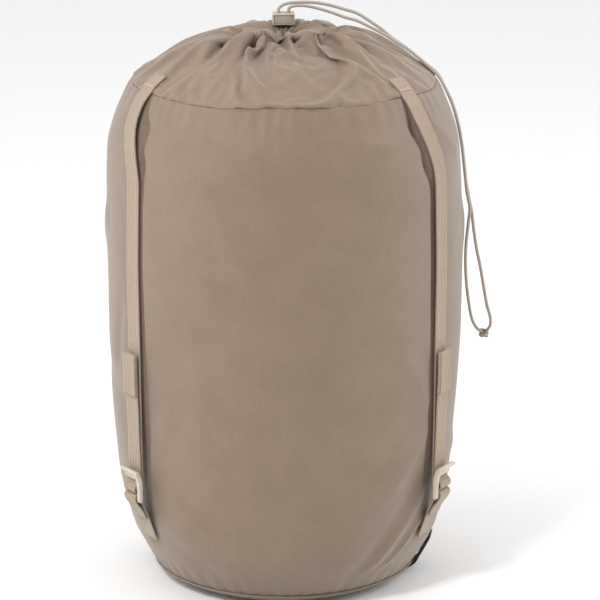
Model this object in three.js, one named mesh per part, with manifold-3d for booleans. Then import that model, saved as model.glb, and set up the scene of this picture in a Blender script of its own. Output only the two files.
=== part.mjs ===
// Compression stuff sack, stuffed full and standing on its base.
// Millimetres, +Z up, front faces -Y, +X to the right. The origin is the centre of the base.
// "Around" angles are measured from the front (-Y) towards +X.
import * as THREE from "three";
import { mergeVertices } from "three/addons/utils/BufferGeometryUtils.js";
import Module from "manifold-3d";

const wasm = await Module();
wasm.setup();

// ---- Driving dimensions -------------------------------------------------------------
const WALL = 3;                    // modelled thickness of the fabric walls
const GAP = 0.4;                   // clearance left between neighbouring pieces
const WEBBING_WIDTH = 20;
const HANDLE_WIDTH = 25;
const WEBBING_THICKNESS = 1.6;
const CORD_RADIUS = 1.5;
const STRAP_ANGLES = { left: -57, right: 57, rear: 180 };
const SHOULDER_TWIST = -6.5;       // degrees that the top of the sack is turned by, against its base
const HANDLE_ANGLE = 80;            // the line that the base handle lies along
const BUCKLE_RADIUS = 170.4;       // distance of each buckle's back face from the axis
const BUCKLE_HEIGHT = 111;         // height of each buckle's middle bar
const LOCK_CENTRE = [0, 22, 530.3];
const LOCK_SIZE = [21, 16, 11];
const CORD_SPACING = 9.5;          // between the two strands where they pass the cord lock

// Outer outlines as [distance from the axis, height].
const BASE_OUTLINE = [[0, 0], [100, 0], [108, 1.5], [115, 4.2], [120, 7.4], [123.4, 11]];
const BODY_OUTLINE = [
  [124, 12.6], [128.5, 18], [135, 28], [141, 38], [145.9, 47], [150.6, 62], [155, 80], [158.3, 98],
  [160.2, 125], [162.6, 165], [164.8, 207], [166.4, 247], [167.2, 290], [167.4, 325], [166, 365],
  [164.4, 400], [162.2, 424], [157.2, 443], [150.5, 460], [141.5, 476.5],
];
const COLLAR_OUTLINE = [
  [141.5, 478], [136, 484], [125.5, 492], [112.5, 502.5], [96.5, 512], [78, 518.5], [61, 521.5],
  [46, 522.5],
];

// ---- Materials ----------------------------------------------------------------------
function finish(red, green, blue, roughness) {
  const color = new THREE.Color().setRGB(red / 255, green / 255, blue / 255, THREE.SRGBColorSpace);
  return new THREE.MeshStandardMaterial({ color, roughness, metalness: 0 });
}

const BODY_FABRIC = finish(148, 131, 115, 0.8);
const COLLAR_FABRIC = finish(176, 160, 145, 0.8);
const STRAP_WEBBING = finish(188, 170, 150, 0.85);
const BLACK_WEBBING = finish(34, 34, 38, 0.85);
const BUCKLE_PLASTIC = finish(200, 187, 174, 0.5);
const LOCK_PLASTIC = finish(186, 172, 156, 0.5);
const CORD_YARN = finish(176, 166, 154, 0.8);
const SPRING_STEEL = new THREE.MeshStandardMaterial({ color: 0xb4b6b8, roughness: 0.3, metalness: 1 });

// ---- Geometry helpers ---------------------------------------------------------------
// Keeps only shared positions and turns every face outwards.
function solid(geometry) {
  const bare = geometry.index ? geometry.toNonIndexed() : geometry;
  bare.deleteAttribute("normal");
  bare.deleteAttribute("uv");
  const merged = mergeVertices(bare, 1e-4);
  const index = merged.index.array;
  const position = merged.attributes.position;
  const a = new THREE.Vector3();
  const b = new THREE.Vector3();
  const c = new THREE.Vector3();
  const kept = [];
  let volume = 0;
  for (let i = 0; i < index.length; i += 3) {
    const [p, q, r] = [index[i], index[i + 1], index[i + 2]];
    if (p === q || q === r || r === p) continue;
    kept.push(p, q, r);
    a.fromBufferAttribute(position, p);
    b.fromBufferAttribute(position, q);
    c.fromBufferAttribute(position, r);
    volume += a.dot(b.cross(c));
  }
  if (volume < 0) {
    for (let i = 0; i < kept.length; i += 3) {
      [kept[i + 1], kept[i + 2]] = [kept[i + 2], kept[i + 1]];
    }
  }
  merged.setIndex(kept);
  merged.computeVertexNormals();
  return merged;
}

function toManifold(geometry) {
  const clean = solid(geometry);
  return new wasm.Manifold(new wasm.Mesh({
    numProp: 3,
    vertProperties: new Float32Array(clean.attributes.position.array),
    triVerts: new Uint32Array(clean.index.array),
  }));
}

function fromManifold(body) {
  const mesh = body.getMesh();
  const geometry = new THREE.BufferGeometry();
  geometry.setAttribute("position", new THREE.BufferAttribute(mesh.vertProperties, 3));
  geometry.setIndex(new THREE.BufferAttribute(mesh.triVerts, 1));
  return geometry;
}

function box(size, centre) {
  return new THREE.BoxGeometry(...size).translate(...centre);
}

// Moves every point of an open outline sideways, to the right of its direction of travel.
function offsetOutline(points, distance) {
  return points.map(([x, y], i) => {
    const before = points[Math.max(i - 1, 0)];
    const after = points[Math.min(i + 1, points.length - 1)];
    const length = Math.hypot(after[0] - before[0], after[1] - before[1]);
    const sideX = (after[1] - before[1]) / length;
    const sideY = -(after[0] - before[0]) / length;
    return [x + sideX * distance, y + sideY * distance];
  });
}

// Turns a closed [radius, height] outline round the Z axis.
function revolve(outline, segments) {
  const closed = [...outline, outline[0]].map(([x, y]) => new THREE.Vector2(x, y));
  return new THREE.LatheGeometry(closed, segments).rotateX(Math.PI / 2);
}

// A fabric shell of even thickness inside an open outer outline.
function shell(outline, thickness, segments) {
  const inner = offsetOutline(outline, -thickness).map(([x, y]) => [Math.max(x, 0), y]);
  return revolve([...outline, ...inner.reverse()], segments);
}

// Outline of a bent strip. Each point is [x, y, thickness]; the thickness may be left out.
function stripShape(path, thickness) {
  const left = [];
  const right = [];
  path.forEach(([x, y, own], i) => {
    const before = path[Math.max(i - 1, 0)];
    const after = path[Math.min(i + 1, path.length - 1)];
    const length = Math.hypot(after[0] - before[0], after[1] - before[1]);
    const half = (own ?? thickness) / 2;
    const sideX = ((after[1] - before[1]) / length) * half;
    const sideY = (-(after[0] - before[0]) / length) * half;
    left.push(new THREE.Vector2(x - sideX, y - sideY));
    right.unshift(new THREE.Vector2(x + sideX, y + sideY));
  });
  return new THREE.Shape([...left, ...right]);
}

function circleShape(x, y, radius, sides) {
  const points = [];
  for (let i = 0; i < sides; i += 1) {
    const angle = (i / sides) * Math.PI * 2;
    points.push(new THREE.Vector2(x + radius * Math.cos(angle), y + radius * Math.sin(angle)));
  }
  return new THREE.Shape(points);
}

// Extrudes a [radius, height] shape sideways from one distance to another.
function across(shape, from, to) {
  const settings = { depth: to - from, bevelEnabled: false, steps: 1 };
  return new THREE.ExtrudeGeometry(shape, settings).translate(0, 0, from);
}

// Turns the part of a strap above mid height about the sack's axis, fully at the shoulder seam.
function twistShoulder(geometry) {
  const position = geometry.attributes.position;
  for (let i = 0; i < position.count; i++) {
    const share = THREE.MathUtils.smoothstep(position.getZ(i), 395, 470);
    const angle = THREE.MathUtils.degToRad(SHOULDER_TWIST * share);
    const [x, y] = [position.getX(i), position.getY(i)];
    position.setX(i, x * Math.cos(angle) - y * Math.sin(angle));
    position.setY(i, x * Math.sin(angle) + y * Math.cos(angle));
  }
  return geometry;
}

// Sets geometry drawn as (radius, height, sideways) at an angle around the sack.
function placeAround(geometry, degrees) {
  const angle = THREE.MathUtils.degToRad(degrees);
  const outward = new THREE.Vector3(Math.sin(angle), -Math.cos(angle), 0);
  const sideways = new THREE.Vector3(Math.cos(angle), Math.sin(angle), 0);
  const up = new THREE.Vector3(0, 0, 1);
  return geometry.applyMatrix4(new THREE.Matrix4().makeBasis(outward, up, sideways));
}

// A curve whose even steps fall on its own hand-placed points.
class StationCurve extends THREE.CatmullRomCurve3 {
  getPointAt(t, target) {
    return this.getPoint(t, target);
  }

  getSpacedPoints(divisions) {
    return this.getPoints(divisions);
  }

  getTangentAt(t, target) {
    return this.getTangent(t, target);
  }
}

function tube(points, radius, sides, steps) {
  const path = new StationCurve(points.map((p) => new THREE.Vector3(...p)));
  const section = circleShape(0, 0, radius, sides);
  return new THREE.ExtrudeGeometry(section, { steps, bevelEnabled: false, extrudePath: path });
}

// ---- Fabric -------------------------------------------------------------------------
function bodyPanel() {
  return shell(BODY_OUTLINE, WALL, 64);
}

function collar() {
  return shell(COLLAR_OUTLINE, WALL, 64);
}

// The gathered hem round the mouth, with the slot that the cord leaves through.
function drawcordChannel() {
  const outside = [
    [12, 514.4], [16, 510.4], [38, 510.4], [43, 513.4], [43, 518.9], [40, 522.4], [34, 524.4],
    [20, 524.4], [14.5, 522.9], [12, 519.9],
  ];
  const inside = [[16.5, 514.4], [38.5, 514.4], [38.5, 520.4], [16.5, 520.4]];
  const slot = box([CORD_SPACING + 6.5, 6, 8], [LOCK_CENTRE[0], LOCK_CENTRE[1], 523.4]);
  const skin = toManifold(revolve(outside, 48)).subtract(toManifold(revolve(inside, 48)));
  return fromManifold(skin.subtract(toManifold(slot)));
}

// The grab handle lies across the underside and is sewn to the body at both ends.
function baseGrabHandle() {
  const half = [
    [100, 0.9], [111, 1.3], [119.5, 4], [127.8, 9.6], [131.6, 16.5], [137.4, 27], [142.4, 36.5],
  ];
  const path = [...mirrored(half), ...half];
  const strip = across(stripShape(path, WEBBING_THICKNESS), -HANDLE_WIDTH / 2, HANDLE_WIDTH / 2);
  return placeAround(strip, HANDLE_ANGLE);
}

function mirrored(points) {
  return points.map(([x, y]) => [-x, y]).reverse();
}

// The round base, with a recess that lets the handle lie flush with the resting face.
function basePanel() {
  const half = HANDLE_WIDTH / 2 + 0.6;
  const room = placeAround(across(stripShape([[-113, -0.1], [113, -0.1]], 4.4), -half, half), HANDLE_ANGLE);
  return fromManifold(toManifold(shell(BASE_OUTLINE, WALL + 1, 64)).subtract(toManifold(room)));
}

function basePiping() {
  const section = [];
  for (let i = 0; i < 8; i += 1) {
    const angle = (i / 8) * Math.PI * 2;
    section.push([125.6 + Math.cos(angle), 10.6 + Math.sin(angle)]);
  }
  return revolve(section, 64);
}

// ---- Compression straps ---------------------------------------------------------------
// Sewn flat on the collar as far as the seam, then hanging free to just above the buckle.
function compressionStrap() {
  const sewn = offsetOutline(COLLAR_OUTLINE.slice(0, 3), 1.4).reverse();
  const hanging = [
    [147.8, 472.5], [154.6, 461.5], [160.4, 448], [165, 425], [166.8, 396], [168, 360],
    [168.9, 325], [168.7, 285], [168, 240], [167.7, 200], [167.4, 165], [167, 135.8],
  ];
  return across(stripShape([...sewn, ...hanging], WEBBING_THICKNESS), -WEBBING_WIDTH / 2, WEBBING_WIDTH / 2);
}

// Comes down behind the top bar, turns round the middle bar, and returns as the hemmed tail.
function strapTail() {
  const turn = [
    [-3.4, 23.6], [-3.4, 2], [-2.5, -1.6], [-0.8, -3.1], [1.8, -3.7], [4.2, -2.8], [5.2, 0],
    [4.3, 2.7], [2.4, 4.6], [0.4, 6.2], [-0.9, 8.2], [-1.3, 11], [-1.3, 24],
  ].map(([out, up]) => [BUCKLE_RADIUS + out, BUCKLE_HEIGHT + up]);
  const tail = [[169.9, 160], [170.7, 199], [172.1, 201.5, 4.2], [172.6, 240.5, 4.2]];
  return across(stripShape([...turn, ...tail], WEBBING_THICKNESS), -WEBBING_WIDTH / 2, WEBBING_WIDTH / 2);
}

// Short webbing sewn low on the body, looped round the buckle's bottom bar and sewn to itself.
function anchorLoop() {
  const bar = [BUCKLE_RADIUS + 1.8, BUCKLE_HEIGHT - 9];
  const path = [
    [151.9, 57], [155.8, 68], [161.2, 82], [bar[0] - 3, bar[1] - 1.5], [bar[0] - 2, bar[1] + 2.1],
    [bar[0] + 0.4, bar[1] + 2.9], [bar[0] + 2.6, bar[1] + 1.4], [bar[0] + 2.6, bar[1] - 1.6], [167, 88],
    [164.6, 83],
  ];
  return across(stripShape(path, WEBBING_THICKNESS), -WEBBING_WIDTH / 2, WEBBING_WIDTH / 2);
}

// A one-sided ladder lock: a side rail carrying three bars whose far ends are open.
// The rail is on the positive side when railSide is 1, and on the negative side when it is -1.
function ladderLock(railSide) {
  const at = ([out, up]) => [BUCKLE_RADIUS + out, BUCKLE_HEIGHT + up];
  const span = (from, to) => (railSide > 0 ? [from, to] : [-to, -from]);
  const rail = new THREE.Shape([
    [0, -11.2], [3.4, -11.2], [3.7, -4], [4.4, 8], [8, 17.4], [5.4, 19.2], [1.8, 14], [0, 9],
  ].map((p) => new THREE.Vector2(...at(p))));
  const lip = stripShape([[1.6, 9.4], [1.6, 12.6], [3.4, 16], [6.6, 17.6]].map(at), 2.8);
  const middle = circleShape(...at([1.8, 0]), 1.8, 12);
  const bottom = circleShape(...at([1.8, -9]), 1.6, 12);
  let body = toManifold(across(rail, ...span(10.8, 15.4)));
  for (const bar of [lip, middle, bottom]) {
    body = body.add(toManifold(across(bar, ...span(-12, 11.4))));
  }
  return fromManifold(body);
}

// ---- Drawcord and cord lock -------------------------------------------------------------
function drawcordRing() {
  const points = [];
  for (let i = 0; i <= 16; i += 1) {
    const angle = THREE.MathUtils.degToRad(115 + (i / 16) * 295);
    points.push([24 * Math.cos(angle), 24 * Math.sin(angle), 517.4]);
  }
  return tube(points, CORD_RADIUS, 8, 24);
}

// The strand that starts on the left of the lock and hangs outermost.
const OUTER_STRAND = [
  [-4.75, 22, 517.4], [-4.75, 22, 528], [-4.75, 22, 536.4], [-4.6, 22.2, 539], [-2.8, 22.5, 541.2],
  [0.8, 22.9, 543.2], [6.2, 23.4, 544.5], [14, 24, 545], [22, 24.6, 544.9], [30, 24.8, 544.4],
  [43, 24.2, 542.1], [56, 22.6, 538.6], [68.6, 20, 535], [80.7, 17.5, 527.8], [91.7, 15, 520.4],
  [101, 12.5, 512.8], [110.6, 10, 506.6], [121.3, 8, 498.4], [132.5, 6, 489.4], [143.2, 4, 480.3],
  [150.2, 3, 467.5], [156.2, 1, 455.5], [161.8, 0, 438], [166.1, -1, 417], [168.6, -1.6, 398],
  [170.7, -2, 380], [173.3, -2, 365], [176.6, -2.5, 349], [178.9, -3, 331], [181.4, -3.5, 315],
  [186, -4, 293], [189.2, -4, 275], [192.4, -4, 258], [196, -4.5, 244], [195.4, -5.2, 237.4],
];

// The strand that starts on the right of the lock and crosses in front of the outer one.
const INNER_STRAND = [
  [4.75, 22, 517.4], [4.75, 22, 528], [4.75, 22, 536.9], [4.9, 21.9, 539.2], [6.8, 21.7, 541],
  [10.4, 21.4, 542], [15.4, 21, 542.5], [22, 20.6, 542], [31.8, 19.6, 540], [45.8, 18, 535.9],
  [58, 16.2, 531.6], [67.4, 14.5, 529.3], [81.3, 12, 522.9], [94.3, 9, 516.4], [104.4, 6, 510.3],
  [115, 3.5, 504], [124.7, 1.5, 496.2], [133.9, 0, 488.6], [143.8, -1.5, 479], [150.8, -2.5, 466.5],
  [156.6, -4, 453.5], [161.6, -5, 437], [165.7, -6, 416.5], [169.2, -7, 388], [171.3, -7.5, 369.5],
  [174.2, -8, 354], [173.1, -8.5, 340.7], [171.1, -8.6, 318.4], [170.9, -8.6, 301.8],
  [172.1, -8.6, 281.3], [174.3, -8.2, 264.4], [178.6, -7.6, 244], [183.4, -6.8, 235.6],
];

function cordKnot() {
  return new THREE.SphereGeometry(5, 12, 8).scale(1.1, 1, 1).translate(189.6, -6.1, 231.6);
}

// The lock's case, open at the front for the button, with a round way through for each strand.
function cordLockBody() {
  const [x, y, z] = LOCK_CENTRE;
  let body = toManifold(box(LOCK_SIZE, LOCK_CENTRE));
  body = body.subtract(toManifold(box([17.8, 15, 7.8], [x, y - 1.8, z])));
  for (const side of [-1, 1]) {
    const hole = new THREE.CylinderGeometry(2.1, 2.1, 20, 16).rotateX(Math.PI / 2);
    hole.translate(x + (side * CORD_SPACING) / 2, y, z);
    body = body.subtract(toManifold(hole));
  }
  return fromManifold(body);
}

// The spring-loaded button. Its slots are long enough to slide past the strands.
function cordLockButton() {
  const [x, y, z] = LOCK_CENTRE;
  let body = toManifold(box([17, 10.4, 7], [x, y - 2.2, z]));
  for (const side of [-1, 1]) {
    const slot = box([3.9, 5.9, 20], [x + (side * CORD_SPACING) / 2, y - 1.1, z]);
    body = body.subtract(toManifold(slot));
  }
  return fromManifold(body);
}

function cordLockSpring() {
  const [x, y, z] = LOCK_CENTRE;
  const points = [];
  for (let i = 0; i <= 20; i += 1) {
    const angle = (i / 10) * Math.PI * 2;
    points.push([x + 2.2 * Math.cos(angle), y + 3.6 + i * 0.08, z + 2.2 * Math.sin(angle)]);
  }
  return tube(points, 0.25, 6, 24);
}

// ---- Assembly -----------------------------------------------------------------------------
const part = new THREE.Group();
part.name = "compression_stuff_sack";

function put(name, geometry, material) {
  const mesh = new THREE.Mesh(solid(geometry), material);
  mesh.name = name;
  part.add(mesh);
}

put("body_panel", bodyPanel(), BODY_FABRIC);
put("base_panel", basePanel(), BODY_FABRIC);
put("base_piping", basePiping(), BODY_FABRIC);
put("collar", collar(), COLLAR_FABRIC);
put("drawcord_channel", drawcordChannel(), COLLAR_FABRIC);
put("base_grab_handle", baseGrabHandle(), BLACK_WEBBING);
for (const [side, degrees] of Object.entries(STRAP_ANGLES)) {
  put(`compression_strap_${side}`, twistShoulder(placeAround(compressionStrap(), degrees)), STRAP_WEBBING);
  put(`strap_tail_${side}`, placeAround(strapTail(), degrees), STRAP_WEBBING);
  put(`anchor_loop_${side}`, placeAround(anchorLoop(), degrees), STRAP_WEBBING);
  const railSide = side === "right" ? -1 : 1;
  put(`ladder_lock_${side}`, placeAround(ladderLock(railSide), degrees), BUCKLE_PLASTIC);
}
put("drawcord_ring", drawcordRing(), CORD_YARN);
put("drawcord_outer_strand", tube(OUTER_STRAND, CORD_RADIUS, 8, 38), CORD_YARN);
put("drawcord_inner_strand", tube(INNER_STRAND, CORD_RADIUS, 8, 36), CORD_YARN);
put("drawcord_knot", cordKnot(), CORD_YARN);
put("cord_lock_body", cordLockBody(), LOCK_PLASTIC);
put("cord_lock_button", cordLockButton(), LOCK_PLASTIC);
put("cord_lock_spring", cordLockSpring(), SPRING_STEEL);

export default part;
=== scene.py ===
import math
import random

import bmesh
import bpy
import numpy as np
from mathutils import Matrix, Vector, noise


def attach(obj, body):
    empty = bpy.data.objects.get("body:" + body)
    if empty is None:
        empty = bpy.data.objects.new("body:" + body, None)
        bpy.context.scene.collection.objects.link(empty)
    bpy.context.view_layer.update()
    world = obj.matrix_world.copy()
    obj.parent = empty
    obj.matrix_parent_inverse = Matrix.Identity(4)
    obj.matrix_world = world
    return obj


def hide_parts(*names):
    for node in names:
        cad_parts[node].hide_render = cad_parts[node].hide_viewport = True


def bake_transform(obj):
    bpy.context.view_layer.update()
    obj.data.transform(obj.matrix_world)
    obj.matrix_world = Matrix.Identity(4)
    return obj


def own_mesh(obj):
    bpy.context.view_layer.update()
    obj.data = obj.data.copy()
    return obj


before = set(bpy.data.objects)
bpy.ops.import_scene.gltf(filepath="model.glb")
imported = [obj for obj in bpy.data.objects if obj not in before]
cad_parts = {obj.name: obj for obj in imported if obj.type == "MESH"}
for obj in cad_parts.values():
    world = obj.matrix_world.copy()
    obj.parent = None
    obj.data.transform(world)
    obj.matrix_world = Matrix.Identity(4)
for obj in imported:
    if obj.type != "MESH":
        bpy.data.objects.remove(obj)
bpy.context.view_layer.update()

# ---- Dimensions, in metres; angles are measured from the front (-Y) towards +X ----
MM = 0.001
STRAP_ANGLES = {"left": -57, "right": 57, "rear": 180}
HANDLE_ANGLE = 80
WEBBING_WIDTH = 0.020
HANDLE_WIDTH = 0.025
SHOULDER_TWIST = -6.5
WEBBING_THICKNESS = 0.0015
CORD_RADIUS = 0.0015
BUCKLE_RADIUS = 0.1704
BUCKLE_HEIGHT = 0.111
LOCK_CENTRE = Vector((0, 0.022, 0.5303))
LOCK_SIZE = Vector((0.021, 0.016, 0.011))
LOCK_GAP = 0.001
CORD_SPACING = 0.0095
CORD_RING_HEIGHT = 0.5174
MEAN_RADIUS = 0.165
STRAP_RADIUS = 0.167
SEAM_RADIUS = 0.1415

# The sack is turned above this height, by SHOULDER_TWIST degrees at the end of the rise.
TWIST_START = 0.395
TWIST_RISE = 0.075

# How the collar cloth settles: its bending stiffness, the share by which it is cut too full, the
# pressure of the contents, and how far the contents sink away from it towards the mouth.
COLLAR_BENDING = 22.0
COLLAR_FULLNESS = 0.05
COLLAR_PUFF = 2.0
CONTENTS_DROP = 0.009

# Outer outlines as (distance from the axis, height).
BASE_OUTLINE = [
    (0, 0), (0.060, 0), (0.098, 0.0002), (0.108, 0.0015), (0.115, 0.0042), (0.120, 0.0074), (0.1236, 0.0112),
]
BODY_OUTLINE = [
    (0.1238, 0.0118), (0.1285, 0.018), (0.135, 0.028), (0.141, 0.038), (0.1459, 0.047), (0.1506, 0.062),
    (0.155, 0.080), (0.1583, 0.098), (0.1602, 0.125), (0.1626, 0.165), (0.1648, 0.207), (0.1664, 0.247),
    (0.1672, 0.290), (0.1674, 0.325), (0.166, 0.365), (0.1644, 0.400), (0.1622, 0.424),
    (0.1572, 0.443), (0.1505, 0.460), (0.1420, 0.4764), (0.1409, 0.4775),
]
COLLAR_OUTLINE = [
    (0.1415, 0.4778), (0.136, 0.484), (0.1255, 0.492), (0.1125, 0.5025), (0.0965, 0.512), (0.078, 0.5185),
    (0.061, 0.5215), (0.046, 0.5225),
]


# ---- Camera, floor and lights ----------------------------------------
def camera():
    """A long lens looking slightly down on the front, from a little to the left."""
    data = bpy.data.cameras.new("camera")
    data.lens = 177
    data.sensor_width = 36
    data.clip_end = 20
    eye = bpy.data.objects.new("camera", data)
    bpy.context.collection.objects.link(eye)
    target = Vector((0.0147, 0, 0.2637))
    azimuth = math.radians(-2)
    elevation = math.radians(15.5)
    back = Vector((
        math.sin(azimuth) * math.cos(elevation),
        -math.cos(azimuth) * math.cos(elevation),
        math.sin(elevation),
    ))
    eye.location = target + back * 2.8
    eye.rotation_euler = (-back).to_track_quat("-Z", "Y").to_euler()
    bpy.context.scene.camera = eye


def area_light(name, location, target, size, power):
    data = bpy.data.lights.new(name, "AREA")
    data.shape = "RECTANGLE"
    data.size = size[0]
    data.size_y = size[1]
    data.energy = power
    lamp = bpy.data.objects.new(name, data)
    bpy.context.collection.objects.link(lamp)
    lamp.location = location
    aim = Vector(target) - Vector(location)
    lamp.rotation_euler = aim.to_track_quat("-Z", "Y").to_euler()


def pale_floor():
    mesh = bpy.data.meshes.new("floor")
    mesh.from_pydata([(-6, -6, 0), (6, -6, 0), (6, 6, 0), (-6, 6, 0)], [], [(0, 1, 2, 3)])
    floor = bpy.data.objects.new("floor", mesh)
    bpy.context.collection.objects.link(floor)
    floor.data.materials.append(plain_material("floor_paper", (0.93, 0.93, 0.93), 0.9))


def surroundings():
    """Even light from everywhere but the front, which is dimmer, so that the sack's sides are lighter."""
    world = bpy.data.worlds.new("studio")
    world.use_nodes = True
    nodes = world.node_tree.nodes
    background = nodes["Background"]
    background.inputs["Strength"].default_value = 1.0
    where = nodes.new("ShaderNodeTexCoord")
    parts = nodes.new("ShaderNodeSeparateXYZ")
    ramp = nodes.new("ShaderNodeValToRGB")
    ramp.color_ramp.elements[0].position = 0.0
    ramp.color_ramp.elements[0].color = (0.16, 0.16, 0.16, 1)
    ramp.color_ramp.elements[1].position = 0.34
    ramp.color_ramp.elements[1].color = (1, 1, 1, 1)
    world.node_tree.links.new(where.outputs["Generated"], parts.inputs["Vector"])
    turned = nodes.new("ShaderNodeMapRange")
    turned.inputs["From Min"].default_value = -1
    world.node_tree.links.new(parts.outputs["Y"], turned.inputs["Value"])
    world.node_tree.links.new(turned.outputs["Result"], ramp.inputs["Fac"])
    world.node_tree.links.new(ramp.outputs["Color"], background.inputs["Color"])
    bpy.context.scene.world = world


def studio():
    bpy.context.scene.view_settings.view_transform = "Standard"
    pale_floor()
    surroundings()
    area_light("key", (-1.0, -1.5, 2.1), (0, 0, 0.35), (0.45, 0.45), 30)
    area_light("left", (-2.0, 0.0, 0.9), (0, 0, 0.3), (0.6, 1.8), 9)
    area_light("right", (2.0, 0.1, 1.1), (0, 0, 0.3), (0.6, 1.8), 18)


# ---- Materials -------------------------------------------------------
def srgb(red, green, blue):
    """Colour given as it looks on a screen, 0 to 255, as linear values for a shader."""
    out = []
    for value in (red, green, blue):
        share = value / 255
        out.append(share / 12.92 if share <= 0.04045 else ((share + 0.055) / 1.055) ** 2.4)
    return tuple(out)


def plain_material(name, colour, roughness):
    material = bpy.data.materials.new(name)
    material.use_nodes = True
    shader = material.node_tree.nodes["Principled BSDF"]
    shader.inputs["Base Color"].default_value = (*colour, 1)
    shader.inputs["Roughness"].default_value = roughness
    return material


class Graph:
    """Short ways to add and join shader nodes in one material."""

    def __init__(self, name, roughness, sheen=0.0):
        self.material = bpy.data.materials.new(name)
        self.material.use_nodes = True
        self.tree = self.material.node_tree
        self.shader = self.tree.nodes["Principled BSDF"]
        self.shader.inputs["Roughness"].default_value = roughness
        self.shader.inputs["Sheen Weight"].default_value = sheen
        self.shader.inputs["Sheen Roughness"].default_value = 0.45
        self.coordinates = self.tree.nodes.new("ShaderNodeTexCoord")

    def join(self, output, socket):
        self.tree.links.new(output, socket)

    def mapped(self, source, scale):
        node = self.tree.nodes.new("ShaderNodeMapping")
        node.inputs["Scale"].default_value = scale
        self.join(self.coordinates.outputs[source], node.inputs["Vector"])
        return node.outputs["Vector"]

    def noise(self, vector, scale, detail=3.0):
        node = self.tree.nodes.new("ShaderNodeTexNoise")
        node.inputs["Scale"].default_value = scale
        node.inputs["Detail"].default_value = detail
        self.join(vector, node.inputs["Vector"])
        return node.outputs["Fac"]

    def bands(self, vector, scale, direction, distortion=0.0):
        node = self.tree.nodes.new("ShaderNodeTexWave")
        node.bands_direction = direction
        node.inputs["Scale"].default_value = scale
        node.inputs["Distortion"].default_value = distortion
        self.join(vector, node.inputs["Vector"])
        return node.outputs["Fac"]

    def maths(self, operation, first, second):
        node = self.tree.nodes.new("ShaderNodeMath")
        node.operation = operation
        for value, socket in ((first, node.inputs[0]), (second, node.inputs[1])):
            if isinstance(value, (int, float)):
                socket.default_value = value
            else:
                self.join(value, socket)
        return node.outputs["Value"]

    def weighted(self, first, share, second, other_share):
        """The sum of two values, each times its share."""
        one = self.maths("MULTIPLY", first, share)
        other = self.maths("MULTIPLY", second, other_share)
        return self.maths("ADD", one, other)

    def ramp(self, factor, low, high, start=0.0, end=1.0):
        node = self.tree.nodes.new("ShaderNodeValToRGB")
        node.color_ramp.elements[0].position = start
        node.color_ramp.elements[0].color = (*low, 1)
        node.color_ramp.elements[1].position = end
        node.color_ramp.elements[1].color = (*high, 1)
        self.join(factor, node.inputs["Fac"])
        return node.outputs["Color"]

    def colour(self, output):
        self.join(output, self.shader.inputs["Base Color"])

    def bump(self, height, strength, distance):
        node = self.tree.nodes.new("ShaderNodeBump")
        node.inputs["Strength"].default_value = strength
        node.inputs["Distance"].default_value = distance
        self.join(height, node.inputs["Height"])
        self.join(node.outputs["Normal"], self.shader.inputs["Normal"])


def woven_fabric(name, dark, light):
    """Thin nylon: crossed threads with small slubs, and soft creasing, whose valleys are also painted darker
    as painted shade.
    """
    graph = Graph(name, 0.72, 0.25)
    warp = graph.noise(graph.mapped("UV", (1500, 60, 1)), 1.0, 1.0)
    weft = graph.noise(graph.mapped("UV", (60, 1500, 1)), 1.0, 1.0)
    threads = graph.maths("ADD", warp, weft)
    creases_and_painted_shade = graph.noise(graph.mapped("UV", (1, 1, 1)), 28.0, 4.0)
    # The crease noise darkens the colour where the bump sinks: painted shade in the creases, laid over the
    # threads' own random tone.
    mixed = graph.weighted(threads, 0.32, creases_and_painted_shade, 0.36)
    graph.colour(graph.ramp(mixed, dark, light, 0.3, 0.7))
    height = graph.maths("ADD", graph.maths("MULTIPLY", threads, 0.12), creases_and_painted_shade)
    graph.bump(height, 0.35, 0.0022)
    return graph.material


def ribbed_webbing(name, dark, light):
    """Webbing whose ribs run along its length, with fine crossing picks."""
    graph = Graph(name, 0.82, 0.3)
    ribs = graph.bands(graph.mapped("UV", (1, 1, 1)), 110.0, "X")
    picks = graph.bands(graph.mapped("UV", (1, 1, 1)), 190.0, "Y", 0.6)
    fuzz = graph.noise(graph.mapped("UV", (700, 250, 1)), 1.0, 2.0)
    height = graph.weighted(ribs, 0.6, picks, 0.25)
    mixed = graph.weighted(height, 0.6, fuzz, 0.5)
    graph.colour(graph.ramp(mixed, dark, light, 0.2, 0.85))
    graph.bump(height, 0.6, 0.0007)
    return graph.material


def moulded_plastic(name, dark, light, roughness=0.45):
    """A smooth surface with a fine grain and slight cloudiness."""
    graph = Graph(name, roughness)
    grain = graph.noise(graph.mapped("Object", (1, 1, 1)), 900.0, 2.0)
    cloud = graph.noise(graph.mapped("Object", (1, 1, 1)), 60.0, 2.0)
    graph.colour(graph.ramp(graph.weighted(grain, 0.3, cloud, 0.7), dark, light, 0.3, 0.7))
    graph.bump(grain, 0.25, 0.0003)
    return graph.material


def braided_cord(name, dark, light):
    """Crossed strands that spiral both ways round the cord."""
    graph = Graph(name, 0.8, 0.2)
    strands = []
    for lean in (40, -40):
        turned = graph.tree.nodes.new("ShaderNodeMapping")
        turned.inputs["Rotation"].default_value = (0, 0, math.radians(lean))
        graph.join(graph.coordinates.outputs["UV"], turned.inputs["Vector"])
        strands.append(graph.bands(turned.outputs["Vector"], 230.0, "X"))
    braid = graph.maths("MAXIMUM", *strands)
    fuzz = graph.noise(graph.mapped("UV", (900, 900, 1)), 1.0, 2.0)
    graph.colour(graph.ramp(graph.weighted(braid, 0.6, fuzz, 0.4), dark, light, 0.2, 0.8))
    graph.bump(braid, 0.5, 0.0004)
    return graph.material


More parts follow.
